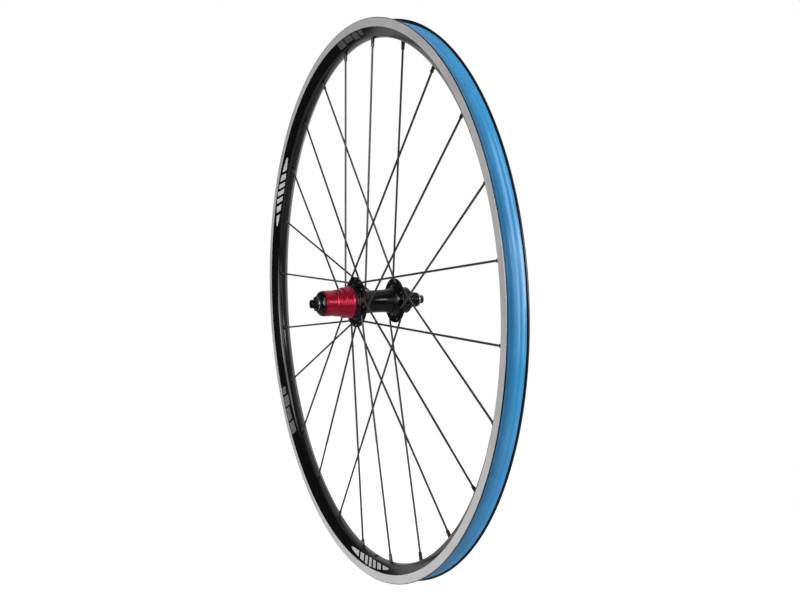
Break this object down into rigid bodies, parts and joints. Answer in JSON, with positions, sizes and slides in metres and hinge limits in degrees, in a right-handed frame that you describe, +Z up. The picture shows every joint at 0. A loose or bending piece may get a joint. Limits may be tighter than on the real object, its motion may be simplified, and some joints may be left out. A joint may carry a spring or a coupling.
{
  "type": "bicycle rear wheel",
  "caption": "Rear wheel of a road bicycle: rim-brake rim with rim tape, crossed spokes, a hub on sealed bearings and a ratcheting freehub, without tyre or sprockets.",
  "frame": {"origin": "centre of the wheel: where the axle's axis meets the rim's mid-plane", "axes": "+Y along the axle from the drive side to the left side, +Z up, +X the way a rolling wheel's top goes"},
  "size_m": [0.633, 0.141, 0.633],
  "materials": {
    "rim_black": "gloss black anodised and painted",
    "rim_track": "machined brake track",
    "decal_white": "printed film",
    "decal_grey": "printed film",
    "tape_blue": "satin woven-backed tape",
    "spoke_black": "black oxide",
    "nipple_black": "black anodised",
    "black_anodised": "gloss black anodised",
    "red_anodised": "gloss red anodised",
    "silver_alloy": "turned",
    "bearing_steel": "ground",
    "ball_and_cage": "brass-coloured cage with steel balls",
    "seal_rubber": "matte"
  },
  "bodies": {
    "axle": {"axle": "silver_alloy", "drive_end_cap": "black_anodised", "drive_locknut": "silver_alloy", "drive_spacer": "black_anodised", "freehub_spacer": "bearing_steel", "hub_spacer": "bearing_steel", "left_end_cap": "black_anodised", "left_locknut": "silver_alloy", "drive_bearing_inner_race": "bearing_steel", "left_bearing_inner_race": "bearing_steel", "freehub_outer_bearing_inner_race": "bearing_steel", "freehub_inner_bearing_inner_race": "bearing_steel"},
    "wheel": {"hub_shell": "black_anodised", "rim": "rim_black", "rim_tape": "tape_blue", "ratchet_ring": "bearing_steel", "freehub_seal": "seal_rubber", "left_dust_cap": "black_anodised", "drive_bearing_outer_race": "bearing_steel", "left_bearing_outer_race": "bearing_steel", "spoke_01": "spoke_black", "spoke_02": "spoke_black", "spoke_03": "spoke_black", "spoke_04": "spoke_black", "spoke_05": "spoke_black", "spoke_06": "spoke_black", "spoke_07": "spoke_black", "spoke_08": "spoke_black", "spoke_09": "spoke_black", "spoke_10": "spoke_black", "spoke_11": "spoke_black", "spoke_12": "spoke_black", "spoke_13": "spoke_black", "spoke_14": "spoke_black", "spoke_15": "spoke_black", "spoke_16": "spoke_black", "spoke_17": "spoke_black", "spoke_18": "spoke_black", "spoke_19": "spoke_black", "spoke_20": "spoke_black", "spoke_21": "spoke_black", "spoke_22": "spoke_black", "spoke_23": "spoke_black", "spoke_24": "spoke_black"},
    "freehub": {"freehub_body": "red_anodised", "freehub_end_ring": "black_anodised", "pawl_spring": "bearing_steel", "freehub_outer_bearing_outer_race": "bearing_steel", "freehub_inner_bearing_outer_race": "bearing_steel"},
    "pawl_1": {"pawl_1": "bearing_steel"},
    "pawl_2": {"pawl_2": "bearing_steel"},
    "pawl_3": {"pawl_3": "bearing_steel"},
    "hub_balls": {"drive_bearing_ball_cage": "ball_and_cage", "left_bearing_ball_cage": "ball_and_cage"},
    "freehub_balls": {"freehub_outer_bearing_ball_cage": "ball_and_cage", "freehub_inner_bearing_ball_cage": "ball_and_cage"}
  },
  "joints": [
    {"name": "wheel_spin", "type": "hinge", "parent": "axle", "child": "wheel", "pos_m": [0, 0, 0], "axis": [0, 1, 0], "continuous": true},
    {"name": "freewheel_spin", "type": "hinge", "parent": "wheel", "child": "freehub", "pos_m": [0, 0, 0], "axis": [0, 1, 0], "continuous": true},
    {"name": "pawl_1_pivot", "type": "hinge", "parent": "freehub", "child": "pawl_1", "pos_m": [-0.00563, -0.01815, 0.0106], "axis": [0, 1, 0], "range_deg": [0, 14], "stiffness_Nm_per_rad": 0.02, "springref_deg": -11.46},
    {"name": "pawl_2_pivot", "type": "hinge", "parent": "freehub", "child": "pawl_2", "pos_m": [0.012, -0.01815, -0.00042], "axis": [0, 1, 0], "range_deg": [0, 14], "stiffness_Nm_per_rad": 0.02, "springref_deg": -11.46},
    {"name": "pawl_3_pivot", "type": "hinge", "parent": "freehub", "child": "pawl_3", "pos_m": [-0.00636, -0.01815, -0.01018], "axis": [0, 1, 0], "range_deg": [0, 14], "stiffness_Nm_per_rad": 0.02, "springref_deg": -11.46},
    {"name": "hub_ball_spin", "type": "hinge", "parent": "axle", "child": "hub_balls", "pos_m": [0, 0, 0], "axis": [0, 1, 0], "continuous": true},
    {"name": "freehub_ball_spin", "type": "hinge", "parent": "axle", "child": "freehub_balls", "pos_m": [0, 0, 0], "axis": [0, 1, 0], "continuous": true}
  ],
  "couplings": [
    {"joint": "pawl_2_pivot", "follows": "pawl_1_pivot", "ratio": 1},
    {"joint": "pawl_3_pivot", "follows": "pawl_1_pivot", "ratio": 1},
    {"joint": "hub_ball_spin", "follows": "wheel_spin", "ratio": 0.57},
    {"joint": "freehub_ball_spin", "follows": "wheel_spin", "ratio": 0.55}
  ]
}
